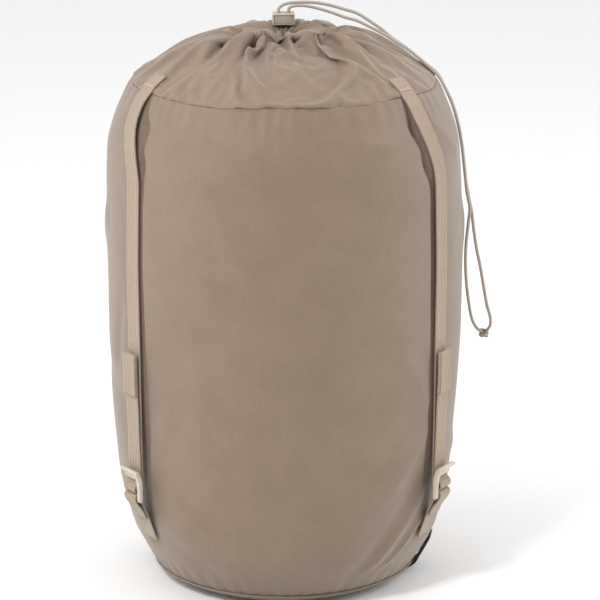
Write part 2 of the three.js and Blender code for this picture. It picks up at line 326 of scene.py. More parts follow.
BODY_FABRIC = woven_fabric("body_fabric", srgb(124, 107, 91), srgb(140, 123, 107))
# The collar's cloth is the body fabric painted a little lighter: painted light on the upward-facing top of
# the sack.
COLLAR_FABRIC_PAINTED_LIGHTER = woven_fabric("collar_fabric", srgb(128, 111, 95), srgb(144, 127, 111))
STRAP_WEBBING = ribbed_webbing("strap_webbing", srgb(134, 116, 96), srgb(180, 162, 141))
BLACK_WEBBING = ribbed_webbing("black_webbing", srgb(20, 20, 24), srgb(48, 48, 54))
THREAD = ribbed_webbing("thread", srgb(150, 131, 110), srgb(196, 178, 158))
BUCKLE_PLASTIC = moulded_plastic("buckle_plastic", srgb(190, 177, 162), srgb(206, 194, 180))
LOCK_PLASTIC = moulded_plastic("lock_plastic", srgb(180, 166, 150), srgb(198, 185, 169))
CORD_YARN = braided_cord("cord_yarn", srgb(140, 129, 117), srgb(192, 182, 170))
SPRING_STEEL = moulded_plastic("spring_steel", srgb(170, 172, 174), srgb(190, 192, 194), 0.3)
SPRING_STEEL.node_tree.nodes["Principled BSDF"].inputs["Metallic"].default_value = 1.0


# ---- Geometry helpers ------------------------------------------------
def new_object(name, vertices, faces, material, uvs=None):
    """uvs is a list of one (u, v) pair per corner, face by face."""
    mesh = bpy.data.meshes.new(name)
    mesh.from_pydata([tuple(v) for v in vertices], [], faces)
    if uvs is not None:
        layer = mesh.uv_layers.new(name="UVMap")
        layer.data.foreach_set("uv", np.array(uvs, dtype=np.float32).ravel())
    mesh.polygons.foreach_set("use_smooth", [True] * len(mesh.polygons))
    mesh.materials.append(material)
    obj = bpy.data.objects.new(name, mesh)
    bpy.context.collection.objects.link(obj)
    return obj


def outward(degrees):
    """The direction straight out from the axis at an angle round from the front."""
    angle = math.radians(degrees)
    return Vector((math.sin(angle), -math.cos(angle), 0))


def sideways(degrees):
    """The direction round the sack at an angle from the front."""
    angle = math.radians(degrees)
    return Vector((math.cos(angle), math.sin(angle), 0))


def smooth_path(points, step):
    """Points about one step apart on a smooth curve through the given ones."""
    points = [Vector(p) for p in points]
    dense = [points[0]]
    for i in range(len(points) - 1):
        p0 = points[max(i - 1, 0)]
        p1 = points[i]
        p2 = points[i + 1]
        p3 = points[min(i + 2, len(points) - 1)]
        reach = (p2 - p1).length
        count = max(1, round(reach / step))
        before = max((p1 - p0).length, 1e-9)
        after = max((p3 - p2).length, 1e-9)
        start = ((p1 - p0) / before + (p2 - p1) / reach) / 2 if i else (p2 - p1) / reach
        end = ((p2 - p1) / reach + (p3 - p2) / after) / 2 if i < len(points) - 2 else (p2 - p1) / reach
        for k in range(1, count + 1):
            t = k / count
            a = 2 * t**3 - 3 * t**2 + 1
            b = t**3 - 2 * t**2 + t
            c = -2 * t**3 + 3 * t**2
            d = t**3 - t**2
            dense.append(p1 * a + start * (b * reach) + p2 * c + end * (d * reach))
    return dense


def smooth_pairs(points, step=0.0008):
    """smooth_path for an outline of (radius, height)."""
    return [(p.x, p.z) for p in smooth_path([(r, 0, z) for r, z in points], step)]


def directions(points):
    """The direction of travel at each point of a path."""
    out = []
    for i in range(len(points)):
        before = points[max(i - 1, 0)]
        after = points[min(i + 1, len(points) - 1)]
        out.append((after - before).normalized())
    return out


def sweep(name, centres, across, section, material, scale=None):
    """Carries a closed (sideways, outwards) section along the centres. across gives the section's
    sideways direction at each centre, and scale may change its outward size there."""
    count = len(section)
    vertices = []
    lengths = [0.0]
    for before, after in zip(centres, centres[1:]):
        lengths.append(lengths[-1] + (after - before).length)
    rims = [0.0]
    for k in range(count):
        a = section[k]
        b = section[(k + 1) % count]
        rims.append(rims[-1] + math.hypot(b[0] - a[0], b[1] - a[1]))
    for i, (centre, along) in enumerate(zip(centres, directions(centres))):
        side = (across[i] - along * across[i].dot(along)).normalized()
        normal = side.cross(along)
        thick = scale[i] if scale else 1.0
        for s, n in section:
            vertices.append(centre + side * s + normal * (n * thick))
    faces = []
    uvs = []
    for i in range(len(centres) - 1):
        for k in range(count):
            after = (k + 1) % count
            faces.append((i * count + k, i * count + after, (i + 1) * count + after, (i + 1) * count + k))
            uvs += [
                (rims[k], lengths[i]), (rims[k + 1], lengths[i]),
                (rims[k + 1], lengths[i + 1]), (rims[k], lengths[i + 1]),
            ]
    last = (len(centres) - 1) * count
    faces.append(tuple(reversed(range(count))))
    uvs += [section[k] for k in reversed(range(count))]
    faces.append(tuple(last + k for k in range(count)))
    uvs += [section[k] for k in range(count)]
    obj = new_object(name, vertices, faces, material, uvs)
    outward_faces(obj)
    return obj


def outward_faces(obj):
    mesh = bmesh.new()
    mesh.from_mesh(obj.data)
    bmesh.ops.recalc_face_normals(mesh, faces=mesh.faces)
    mesh.to_mesh(obj.data)
    mesh.free()


def webbing_section(width, thickness):
    """Flat strip with rounded edges and slightly thicker woven borders."""
    half = width / 2
    deep = thickness / 2
    face = [(-half + 0.0006, deep * 0.9), (-half + 0.0018, deep), (-half + 0.0034, deep * 0.86)]
    face += [(half - 0.0034, deep * 0.86), (half - 0.0018, deep), (half - 0.0006, deep * 0.9)]
    edge = [(half, 0.0)]
    under = [(s, -n) for s, n in reversed(face)]
    return face + edge + under + [(-half, 0.0)]


def round_section(radius, sides):
    return [
        (radius * math.cos(2 * math.pi * k / sides), radius * math.sin(2 * math.pi * k / sides))
        for k in range(sides)
    ]


def radial_webbing(name, outline, degrees, step=0.003, width=WEBBING_WIDTH, thicker=None, material=None):
    """Webbing lying in the upright plane at one angle. outline is [(radius, height)], and thicker gives
    how many times its usual thickness it has at a point."""
    path = smooth_path([(r, 0, z) for r, z in outline], step)
    out = outward(degrees)
    side = sideways(degrees)
    centres = []
    scale = []
    for point in path:
        centres.append(out * point.x + Vector((0, 0, point.z)))
        scale.append(thicker(point) if thicker else 1.0)
    section = webbing_section(width, WEBBING_THICKNESS)
    return sweep(name, centres, [side] * len(centres), section, material or STRAP_WEBBING, scale)


def join(name, objects):
    """Makes the objects one object, whose mesh keeps all their materials."""
    bpy.ops.object.select_all(action="DESELECT")
    for obj in objects:
        obj.select_set(True)
    bpy.context.view_layer.objects.active = objects[0]
    bpy.ops.object.join()
    objects[0].name = name
    return objects[0]


def apply_modifiers(obj):
    """Keeps the shape that the modifiers give."""
    graph = bpy.context.evaluated_depsgraph_get()
    mesh = bpy.data.meshes.new_from_object(obj.evaluated_get(graph))
    obj.modifiers.clear()
    obj.data = mesh


def dense_outline(outline, count):
    """The outline's radius, height and length so far, as arrays evenly spaced along it."""
    points = smooth_path([(r, 0, z) for r, z in outline], 0.002)
    radius = np.array([p.x for p in points])
    height = np.array([p.z for p in points])
    lengths = np.concatenate([[0], np.cumsum(np.hypot(np.diff(radius), np.diff(height)))])
    even = np.linspace(0, lengths[-1], count)
    return np.interp(even, lengths, radius), np.interp(even, lengths, height), even


# ---- Fabric ----------------------------------------------------------
def bell(value, centre, width):
    """A smooth bump, 1 at its centre and falling away over about one width."""
    return np.exp(-(((value - centre) / width) ** 2))


def wrapped(angle):
    """The same angle, between minus half a turn and half a turn."""
    return (angle + math.pi) % (2 * math.pi) - math.pi


def round_grid(outline, rows, columns):
    """The outline carried round the sack: grids of angle, radius and height, then the angles round
    and the lengths along it."""
    radius, height, lengths = dense_outline(outline, rows)
    angles = np.linspace(-math.pi, math.pi, columns, endpoint=False)
    grid_angle, grid_radius = np.meshgrid(angles, radius)
    grid_height = np.repeat(height[:, None], columns, axis=1)
    return grid_angle, grid_radius, grid_height, angles, lengths


def ring_faces(rows, columns):
    """Four-sided faces between rings of vertices, each ring closed."""
    faces = []
    for j in range(rows - 1):
        for i in range(columns):
            k = (i + 1) % columns
            faces.append((j * columns + i, j * columns + k, (j + 1) * columns + k, (j + 1) * columns + i))
    return faces


def grid_object(name, vertices, angles, lengths, texture_radius, material):
    """A skin closed round the sack. vertices is an array of rows by columns by 3, and the weave has
    its true size at the texture radius."""
    rows, columns, _ = vertices.shape
    step = abs(angles[1] - angles[0]) * texture_radius
    uvs = []
    for j in range(rows - 1):
        for i in range(columns):
            uvs += [
                (i * step, lengths[j]), ((i + 1) * step, lengths[j]),
                ((i + 1) * step, lengths[j + 1]), (i * step, lengths[j + 1]),
            ]
    return new_object(name, vertices.reshape(-1, 3), ring_faces(rows, columns), material, uvs)


def seam_rise(angle):
    """How far the shoulder seam rises or dips round the sack, in metres."""
    return 0.0012 * math.sin(3 * angle + 0.7) + 0.0008 * math.sin(7 * angle + 2.1)


# Soft ridges (height above 0) and valleys on the body, in millimetres:
# (distance round from the front, height, the same at the other end, width, depth).
BODY_FOLD_DEPTH = 1.9
BODY_FOLDS = [
    (95, 40, 150, 105, 5, 1.6), (112, 36, 160, 80, 4, 1.4), (70, 30, 140, 120, 9, -1.2),
    (60, 70, 120, 150, 12, 1.0), (100, 110, 150, 170, 8, 1.0), (20, 95, 100, 135, 14, -1.0),
    (-40, 25, -120, 70, 10, 1.0), (-90, 90, -150, 70, 9, 1.0), (-20, 60, -110, 110, 12, -0.8),
    (-160, 110, -120, 190, 10, 0.9), (150, 190, 110, 250, 10, 0.8), (-30, 440, -90, 455, 8, 1.0),
    (30, 452, 110, 440, 9, 1.0), (0, 420, 80, 380, 16, -0.9), (-100, 400, -30, 330, 18, 0.8),
    (40, 300, 110, 330, 18, 0.8), (-120, 250, -60, 220, 16, -0.7), (30, 180, 90, 150, 14, 0.9),
]


def body_relief(around, height):
    """Height of the soft folds at points given in metres round and up the body. The front has the
    folds listed above, and the sides and back have random ones."""
    u = around / MM
    z = height / MM
    relief = np.zeros_like(u)
    rng = random.Random(11)
    folds = list(BODY_FOLDS)
    for _ in range(34):
        start = rng.uniform(190, 860)
        low = rng.uniform(25, 430)
        lean = rng.uniform(-90, 90)
        rise = rng.uniform(-60, 80)
        folds.append((start, low, start + lean, low + rise, rng.uniform(6, 16), rng.uniform(-1.2, 1.3)))
    turn = 2 * math.pi * MEAN_RADIUS / MM
    for u0, z0, u1, z1, width, depth in folds:
        length = math.hypot(u1 - u0, z1 - z0)
        du = (u1 - u0) / length
        dz = (z1 - z0) / length
        near = (u - u0 + turn / 2) % turn - turn / 2
        along = near * du + (z - z0) * dz
        off = near * dz - (z - z0) * du
        ends = np.clip(np.minimum(along, length - along) / (0.35 * length) + 0.6, 0, 1)
        fade = ends * ends * (3 - 2 * ends)
        relief += depth * fade * bell(off, 0, width)
    return BODY_FOLD_DEPTH * relief * MM


def strap_grooves(angle, height):
    """How far the cloth sinks beside each front strap, deepest in two pockets under the shoulder seam."""
    groove = np.zeros_like(angle)
    turned = math.radians(SHOULDER_TWIST) * np.clip((height - TWIST_START) / TWIST_RISE, 0, 1)
    sunk = np.clip((height - 0.085) / 0.05, 0, 1)
    pockets = bell(height, 0.449, 0.012) + 0.7 * bell(height, 0.418, 0.012)
    for side, frontwards in (("left", 1), ("right", -1)):
        away = wrapped(angle - math.radians(STRAP_ANGLES[side]) - turned)
        ahead = frontwards * away * STRAP_RADIUS
        groove += 0.0036 * bell(ahead, 0.0108, 0.0024) * sunk
        groove += 0.0060 * pockets * bell(ahead, 0.014, 0.0060)
    return groove


def body_skin():
    """The body panel, stuffed full: folds, slow swells, dents under the straps and puckers at its seams."""
    angle, radius, height, angles, lengths = round_grid(BODY_OUTLINE, 250, 420)
    relief = body_relief(angle * MEAN_RADIUS, height)
    relief += 0.0011 * np.sin(2 * angle + 0.6 + height * 9) * np.sin(height * 17 + 1)
    relief += 0.0007 * np.sin(5 * angle - height * 21)
    relief -= strap_grooves(angle, height)
    press = np.zeros_like(relief)
    for degrees in STRAP_ANGLES.values():
        press += bell(wrapped(angle - math.radians(degrees)) * MEAN_RADIUS, 0, 0.017)
    tied = 0.0016 * bell(height, 0.31, 0.10)
    edge = np.clip(np.minimum(lengths, lengths[-1] - lengths) / 0.03, 0, 1)[:, None]
    pucker = 0.0005 * np.sin(angle * 61 + 3 * np.sin(angle * 7)) * bell(height, 0.470, 0.012)
    pucker += 0.0005 * np.sin(angle * 53 + 2 * np.sin(angle * 5)) * bell(height, 0.020, 0.012)
    radius = radius + relief * edge - press * tied + pucker
    rise = np.array([seam_rise(a) for a in angles])[None, :]
    height = height + rise * np.clip((height - 0.40) / 0.078, 0, 1)
    vertices = np.stack([radius * np.sin(angle), -radius * np.cos(angle), height], -1)
    return grid_object("body_skin", vertices, angles, lengths, MEAN_RADIUS, BODY_FABRIC)


def base_skin():
    """The base panel, with a shallow recess for the grab handle and puckers round its rim."""
    grid_angle, grid_radius, grid_height, angles, lengths = round_grid(BASE_OUTLINE, 60, 240)
    grid_radius[0] = 0.0004
    x = grid_radius * np.sin(grid_angle)
    y = -grid_radius * np.cos(grid_angle)
    out = outward(HANDLE_ANGLE)
    along = x * out.x + y * out.y
    aside = x * -out.y + y * out.x
    recess = np.clip((0.0150 - np.abs(aside)) / 0.0022, 0, 1)
    recess *= np.clip((0.116 - np.abs(along)) / 0.006, 0, 1)
    grid_height = np.maximum(grid_height, 0.0019 * recess)
    rim = np.clip((grid_radius - 0.09) / 0.03, 0, 1)
    grid_height = grid_height + 0.0003 * rim * (1 + np.sin(grid_angle * 47 + 2 * np.sin(grid_angle * 6)))
    vertices = np.stack([x, y, grid_height], -1)
    return grid_object("base_skin", vertices, angles, lengths, 0.1, BODY_FABRIC)


def base_piping():
    """The thin covered cord in the seam between base and body."""
    centres = [outward(2 * i) * 0.1250 + Vector((0, 0, 0.0112)) for i in range(181)]
    ups = [Vector((0, 0, 1))] * len(centres)
    return sweep("base_piping_cord", centres, ups, round_section(0.0010, 8), BODY_FABRIC)


# The gathered top: from the seam up over the shoulder, then the ruched channel round the mouth.
GATHERED_OUTLINE = [(0.1400, 0.4772)] + COLLAR_OUTLINE + [
    (0.0440, 0.5240), (0.0425, 0.5262), (0.0385, 0.5278), (0.0330, 0.5272), (0.0270, 0.5256),
    (0.0210, 0.5235), (0.0165, 0.5200), (0.0135, 0.5140),
]
CHANNEL_RADIUS = 0.043
HELD_RADIUS = 0.0425

# Folds as (points of (degrees round, distance from the axis), half width, depth). A negative depth is
# a ridge, and the cloth before it settles has each fold COLLAR_FOLD_DEPTH times as deep.
COLLAR_FOLD_DEPTH = 2.8
COLLAR_FOLDS = [
    ([(-60, 0.040), (-56, 0.070), (-50, 0.098), (-45, 0.122)], 0.0075, 0.0120),
    ([(-41, 0.042), (-35, 0.070), (-30, 0.102)], 0.0055, 0.0085),
    ([(-49, 0.046), (-44, 0.080), (-40, 0.112)], 0.0060, -0.0040),
    ([(-25, 0.044), (-24, 0.072), (-27, 0.110)], 0.0075, -0.0050),
    ([(-13, 0.038), (-12, 0.060), (-11, 0.082)], 0.0050, 0.0125),
    ([(-24, 0.086), (-19, 0.108), (-10, 0.122), (-1, 0.112), (7, 0.088)], 0.0055, -0.0042),
    ([(-11, 0.080), (-9, 0.112)], 0.0090, 0.0045),
    ([(14, 0.042), (13, 0.060)], 0.0045, 0.0050),
    ([(33, 0.046), (36, 0.066), (35, 0.092), (38, 0.116)], 0.0050, -0.0050),
    ([(45, 0.044), (43, 0.078), (44, 0.108), (47, 0.138)], 0.0042, 0.0052),
    ([(55, 0.050), (54, 0.080), (56, 0.110)], 0.0070, -0.0035),
    ([(66, 0.046), (64, 0.080), (60, 0.108), (58, 0.124)], 0.0072, 0.0105),
    ([(83, 0.044), (80, 0.080), (76, 0.118)], 0.0065, 0.0075),
    ([(101, 0.044), (99, 0.072), (96, 0.110)], 0.0070, 0.0085),
    ([(119, 0.044), (121, 0.080), (124, 0.122)], 0.0060, 0.0070),
    ([(138, 0.044), (138, 0.076), (135, 0.100)], 0.0070, 0.0095),
    ([(156, 0.044), (158, 0.080), (161, 0.126)], 0.0055, 0.0070),
    ([(175, 0.044), (174, 0.070), (171, 0.104)], 0.0072, 0.0095),
    ([(-166, 0.044), (-165, 0.080), (-161, 0.114)], 0.0060, 0.0070),
    ([(-147, 0.044), (-149, 0.078), (-153, 0.122)], 0.0068, 0.0090),
    ([(-129, 0.044), (-128, 0.070), (-126, 0.100)], 0.0058, 0.0065),
    ([(-111, 0.044), (-109, 0.078), (-104, 0.118)], 0.0070, 0.0090),
    ([(-93, 0.044), (-90, 0.070), (-86, 0.098)], 0.0058, 0.0070),
    ([(-77, 0.044), (-72, 0.084), (-67, 0.130)], 0.0064, 0.0075),
]


def fold_depth(x, y, spans, half_width, depth):
    """How far a fold pushes the cloth in at plan positions x, y; it fades in and out along its length."""
    corners = [(r * math.sin(math.radians(a)), -r * math.cos(math.radians(a))) for a, r in spans]
    line = np.array([(p.x, p.y) for p in smooth_path([(cx, cy, 0) for cx, cy in corners], 0.002)])
    pushed = np.zeros_like(x)
    for k, (cx, cy) in enumerate(line):
        share = k / (len(line) - 1)
        width = half_width * (0.75 + 0.7 * share)
        fade = min(1, 1.15 - share) * min(1, (1 - share) / 0.35) ** 0.8
        away = np.hypot(x - cx, y - cy) / width
        pushed = np.maximum(pushed, fade * np.exp(-(away ** 1.25)))
    return pushed * depth


def ruched_hem(around):
    """The small pleats of the gathered hem at angles round the mouth, from -1 to 1."""
    rng = random.Random(4)
    ruched = np.zeros(len(around))
    for _ in range(7):
        shift = rng.uniform(0, 2 * math.pi)
        count = rng.randint(17, 38)
        share = rng.uniform(0.5, 1)
        ruched += share * np.sin(count * around + shift + 0.8 * np.sin(5 * around + shift))
    return ruched / np.abs(ruched).max()


def pushed_in(x, y, radius, ruched):
    """How far the folds and the hem's pleats push one ring of the collar in."""
    pushed = np.zeros_like(x)
    for spans, half_width, depth in COLLAR_FOLDS:
        pushed += COLLAR_FOLD_DEPTH * fold_depth(x, y, spans, half_width, depth)
    near_hem = np.clip((0.074 - radius) / 0.030, 0, 1) ** 1.5
    return pushed + ruched * 0.0058 * near_hem


def lock_ceiling(x, y):
    """The greatest height at plan positions x, y that keeps the hem under the cord lock."""
    beside = np.maximum(np.abs(x - LOCK_CENTRE.x) - LOCK_SIZE.x / 2 - LOCK_GAP, 0)
    behind = np.maximum(np.abs(y - LOCK_CENTRE.y) - LOCK_SIZE.y / 2 - LOCK_GAP, 0)
    return LOCK_CENTRE.z - LOCK_SIZE.z / 2 - LOCK_GAP + 1.5 * np.hypot(beside, behind)


def held_vertices(around, radius, lengths):
    """The collar's vertices that stay where they are: the seam, the hem and the cloth under each strap."""
    columns = len(around)
    held = list(range(columns))
    held += [j * columns + i for j in range(len(radius)) for i in range(columns) if radius[j] < HELD_RADIUS]
    for degrees in STRAP_ANGLES.values():
        for i in range(columns):
            away = wrapped(around[i] - math.radians(degrees + SHOULDER_TWIST))
            if abs(away) * SEAM_RADIUS < 0.012:
                held += [j * columns + i for j in range(len(radius)) if lengths[j] < 0.022]
    return held


def collar_cloth():
    """The collar before it settles: its outline carried round, with folds, pleats and small crumples."""
    columns = 240
    rows = 66
    radius, height, lengths = dense_outline(GATHERED_OUTLINE, rows + 1)
    around = np.arange(columns) * 2 * math.pi / columns
    ruched = ruched_hem(around)
    points = np.zeros((rows + 1, columns, 3))
    for j in range(rows + 1):
        before = max(j - 1, 0)
        after = min(j + 1, rows)
        run = radius[after] - radius[before]
        rise = height[after] - height[before]
        steep = math.hypot(run, rise)
        normal_r = rise / steep
        normal_z = -run / steep
        x = radius[j] * np.sin(around)
        y = -radius[j] * np.cos(around)
        pushed = pushed_in(x, y, radius[j], ruched)
        clear = np.clip(lengths[j] / 0.016, 0, 1)
        swell = 0.0022 * math.sin(math.pi * min(1, lengths[j] / 0.105))
        moved = (swell - pushed) * clear
        if radius[j] < CHANNEL_RADIUS:
            moved = -pushed * 0.5
        wobble = np.array([noise.noise(Vector((px * 45, py * 45, 0.3))) for px, py in zip(x, y)])
        moved = moved + wobble * 0.0022 * clear
        points[j, :, 0] = x + moved * normal_r * np.sin(around)
        points[j, :, 1] = y - moved * normal_r * np.cos(around)
        points[j, :, 2] = height[j] + moved * normal_z
        points[j, :, 2] += np.array([seam_rise(a) for a in around]) * (1 - clear)
        points[j, :, 2] = np.minimum(points[j, :, 2], lock_ceiling(points[j, :, 0], points[j, :, 1]))
    cloth = grid_object("collar_skin", points, around, lengths, SEAM_RADIUS, COLLAR_FABRIC_PAINTED_LIGHTER)
    group = cloth.vertex_groups.new(name="held")
    group.add(held_vertices(around, radius, lengths), 1.0, "REPLACE")
    return cloth


def contents_dome():
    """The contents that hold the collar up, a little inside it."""
    outline = [(0.136, 0.440), (0.1385, 0.4735)]
    for r, z in COLLAR_OUTLINE[1:]:
        sunk = CONTENTS_DROP * min(1, (COLLAR_OUTLINE[0][0] - r) / 0.06)
        outline.append((r - 0.0022, z - 0.0020 - sunk))
    outline += [(0.020, 0.5100), (0.0005, 0.5090)]
    columns = 72
    vertices = []
    for radius, height in outline:
        for i in range(columns):
            angle = 2 * math.pi * i / columns
            vertices.append((radius * math.sin(angle), -radius * math.cos(angle), height))
    dome = new_object("contents_dome", vertices, ring_faces(len(outline), columns), BODY_FABRIC)
    dome.modifiers.new("contact", "COLLISION")
    dome.collision.thickness_outer = 0.001
    dome.collision.cloth_friction = 8
    return dome


def settle(cloth, frames=22):
    """Lets the cloth, cut a little fuller than its shape, buckle over the contents between its held
    edges, and keeps the shape it reaches."""
    modifier = cloth.modifiers.new("cloth", "CLOTH")
    settings = modifier.settings
    settings.vertex_group_mass = "held"
    settings.quality = 5
    settings.mass = 0.12
    settings.tension_stiffness = 22
    settings.compression_stiffness = 22
    settings.shear_stiffness = 12
    settings.bending_stiffness = COLLAR_BENDING
    settings.shrink_min = -COLLAR_FULLNESS
    settings.use_pressure = True
    settings.uniform_pressure_force = COLLAR_PUFF
    settings.air_damping = 3
    modifier.collision_settings.distance_min = 0.001
    modifier.collision_settings.use_self_collision = False
    dome = contents_dome()
    modifier.point_cache.frame_start = 1
    modifier.point_cache.frame_end = frames
    scene = bpy.context.scene
    scene.frame_start = 1
    scene.frame_end = frames
    for number in range(1, frames + 1):
        scene.frame_set(number)
    apply_modifiers(cloth)
    bpy.data.objects.remove(dome)
    scene.frame_set(1)


def gathered_collar():
    """The collar and the drawcord channel at its mouth, as one cloth."""
    collar = collar_cloth()
    settle(collar)
    finer = collar.modifiers.new("finer", "SUBSURF")
    finer.levels = 1
    finer.render_levels = 1
    apply_modifiers(collar)
    return collar


# ---- Webbing ---------------------------------------------------------
def offset_outline(points, distance):
    """Moves an open outline to the right of its direction of travel."""
    moved = []
    for i, (r, z) in enumerate(points):
        before = points[max(i - 1, 0)]
        after = points[min(i + 1, len(points) - 1)]
        length = math.hypot(after[0] - before[0], after[1] - before[1])
        out = (after[1] - before[1]) / length
        down = (after[0] - before[0]) / length
        moved.append((r + out * distance, z - down * distance))
    return moved


# The free part of each strap, from the shoulder seam down to its buckle.
STRAP_LINE = [
    (0.1476, 0.4730), (0.1540, 0.4620), (0.1600, 0.448), (0.1650, 0.425), (0.1666, 0.396), (0.1676, 0.360),
    (0.1684, 0.325), (0.1682, 0.285), (0.1678, 0.240), (0.1676, 0.200), (0.1674, 0.165), (0.1670, 0.1345),
]

# The line of stitching across each strap, just above the seam.
BAR_TACK = [(0.1376, 0.4854), (0.1394, 0.4834)]


def shoulder_turn(height):
    """Degrees that the sack is turned by at a height, most at the shoulder seam."""
    share = min(max((height - TWIST_START) / TWIST_RISE, 0), 1)
    return SHOULDER_TWIST * share * share * (3 - 2 * share)


def twist_shoulder(obj):
    """Turns a piece with the sack's shoulder."""
    for vertex in obj.data.vertices:
        vertex.co = Matrix.Rotation(math.radians(shoulder_turn(vertex.co.z)), 3, "Z") @ vertex.co


def compression_strap(side, degrees):
    """A long strap: sewn to the collar, then free down to its buckle."""
    sewn = offset_outline(COLLAR_OUTLINE[:3], 0.0012)[::-1]
    strap = radial_webbing(f"strap_{side}", sewn + STRAP_LINE, degrees)
    tack = radial_webbing(f"tack_{side}", BAR_TACK, degrees, 0.0005, 0.0186, lambda p: 0.4, material=THREAD)
    for piece in (strap, tack):
        twist_shoulder(piece)
    strap = join(f"strap_{side}", [strap, tack])
    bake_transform(strap)
    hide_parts(f"compression_strap_{side}")


def strap_tail(side, degrees):
    """The webbing turned round the buckle's middle bar, and its tail up to a folded hem."""
    turn = [
        (-3.4, 23.4), (-3.4, 12), (-3.4, 2), (-2.5, -1.6), (-0.8, -3.1), (1.8, -3.7), (4.2, -2.8), (5.2, 0),
        (4.3, 2.7), (2.4, 4.6), (0.4, 6.2), (-0.9, 8.2), (-1.3, 11), (-1.3, 24),
    ]
    outline = [(BUCKLE_RADIUS + out * MM, BUCKLE_HEIGHT + up * MM) for out, up in turn]
    outline += [(0.1699, 0.160), (0.1707, 0.192), (0.1712, 0.2005)]
    tail = radial_webbing(f"tail_{side}", outline, degrees, 0.0015)
    hem_line = [(0.1722, 0.2005), (0.1727, 0.210), (0.1729, 0.228), (0.1729, 0.2385), (0.1726, 0.2405)]
    hem = radial_webbing(
        f"hem_{side}", hem_line, degrees, 0.0015, WEBBING_WIDTH + 0.0006,
        lambda p: 2.5 - 0.9 * max(0, (p.z - 0.2365) / 0.004) ** 2,
    )
    piece = join(f"tail_{side}", [tail, hem])
    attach(piece, f"{side}_buckle")
    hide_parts(f"strap_tail_{side}")


def anchor_loop(side, degrees):
    """The short webbing from the lower body round the buckle's bottom bar and back."""
    bar_r = BUCKLE_RADIUS + 0.0018
    bar_z = BUCKLE_HEIGHT - 0.009
    outline = [
        (0.1517, 0.057), (0.1558, 0.068), (0.1612, 0.082), (bar_r - 0.0030, bar_z - 0.0015),
        (bar_r - 0.0020, bar_z + 0.0021), (bar_r + 0.0004, bar_z + 0.0029), (bar_r + 0.0026, bar_z + 0.0014),
        (bar_r + 0.0026, bar_z - 0.0016), (0.1668, 0.088), (0.1632, 0.080),
    ]
    piece = radial_webbing(f"anchor_{side}", outline, degrees, 0.0015)
    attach(piece, "sack")
    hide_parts(f"anchor_loop_{side}")


def grab_handle():
    """The webbing across the underside, turned up and sewn to the body at both ends."""
    half = [
        (0.050, 0.0009), (0.100, 0.0009), (0.111, 0.0013), (0.1195, 0.0040), (0.1278, 0.0096),
        (0.1316, 0.0165), (0.1374, 0.027), (0.1420, 0.0362),
    ]
    path = [(-r, z) for r, z in reversed(half)] + half
    piece = radial_webbing("grab_handle", path, HANDLE_ANGLE, width=HANDLE_WIDTH, material=BLACK_WEBBING)
    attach(piece, "sack")
    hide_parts("base_grab_handle")


# ---- Buckles ---------------------------------------------------------
def prism(name, outline, low, high, degrees, material, bevel):
    """A (radius, height) outline in the upright plane at an angle, given depth sideways."""
    out = outward(degrees)
    side = sideways(degrees)
    vertices = []
    for offset in (low, high):
        for r, z in outline:
            vertices.append(out * r + Vector((0, 0, z)) + side * offset)
    count = len(outline)
    faces = [tuple(range(count)), tuple(range(2 * count - 1, count - 1, -1))]
    for k in range(count):
        after = (k + 1) % count
        faces.append((k, after, count + after, count + k))
    obj = new_object(name, vertices, faces, material)
    outward_faces(obj)
    if bevel:
        rounding = obj.modifiers.new("bevel", "BEVEL")
        rounding.width = bevel
        rounding.segments = 3
        apply_modifiers(obj)
    return obj


def strip_outline(path, thickness):
    """The closed outline of a strip that follows a path."""
    left = offset_outline(path, -thickness / 2)
    right = offset_outline(path, thickness / 2)
    return left + right[::-1]


# The buckle's parts in millimetres, as (outwards, up) from its middle.
RAIL_OUTLINE = [
    (0, -11), (0.8, -12), (3.0, -12), (3.9, -10.8), (3.8, -4), (4.2, 3), (5.0, 9.6), (8, 16.6),
    (7.6, 18.6), (5.2, 19.0), (2.6, 15.6), (0.9, 12), (0, 8),
]
TOP_LINE = [(1.5, 8.6), (1.5, 12.4), (3.2, 16), (6.8, 17.6), (8.4, 16.4)]
TOP_THICKNESS = 2.9
MIDDLE_BAR = [(1.8 + out, up) for out, up in round_section(1.8, 16)]
BOTTOM_BAR = [(1.8 + out, up - 9) for out, up in round_section(1.6, 16)]


def ladder_lock(side, degrees):
    """A buckle with a curled top, two bars and one rail, which the two front buckles have in front."""
    rail_side = -1 if side == "right" else 1

    def at(points):
        return [(BUCKLE_RADIUS + out * MM, BUCKLE_HEIGHT + up * MM) for out, up in points]

    def span(low, high):
        return (low * MM, high * MM) if rail_side > 0 else (-high * MM, -low * MM)

    top = strip_outline(smooth_pairs(at(TOP_LINE)), TOP_THICKNESS * MM)
    pieces = [
        prism("rail", at(RAIL_OUTLINE), *span(10.6, 15.4), degrees, BUCKLE_PLASTIC, 0.0012),
        prism("top", top, *span(-12, 12), degrees, BUCKLE_PLASTIC, 0.0008),
        prism("middle", at(MIDDLE_BAR), *span(-12, 12), degrees, BUCKLE_PLASTIC, 0),
        prism("bottom", at(BOTTOM_BAR), *span(-12, 12), degrees, BUCKLE_PLASTIC, 0),
    ]
    lock = join(f"buckle_{side}", pieces)
    skin = lock.modifiers.new("skin", "REMESH")
    skin.mode = "VOXEL"
    skin.voxel_size = 0.0004
    skin.use_smooth_shade = True
    even = lock.modifiers.new("even", "SMOOTH")
    even.factor = 0.5
    even.iterations = 4
    apply_modifiers(lock)
    lock.data.materials.clear()
    lock.data.materials.append(BUCKLE_PLASTIC)
    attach(lock, f"{side}_buckle")
    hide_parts(f"ladder_lock_{side}")


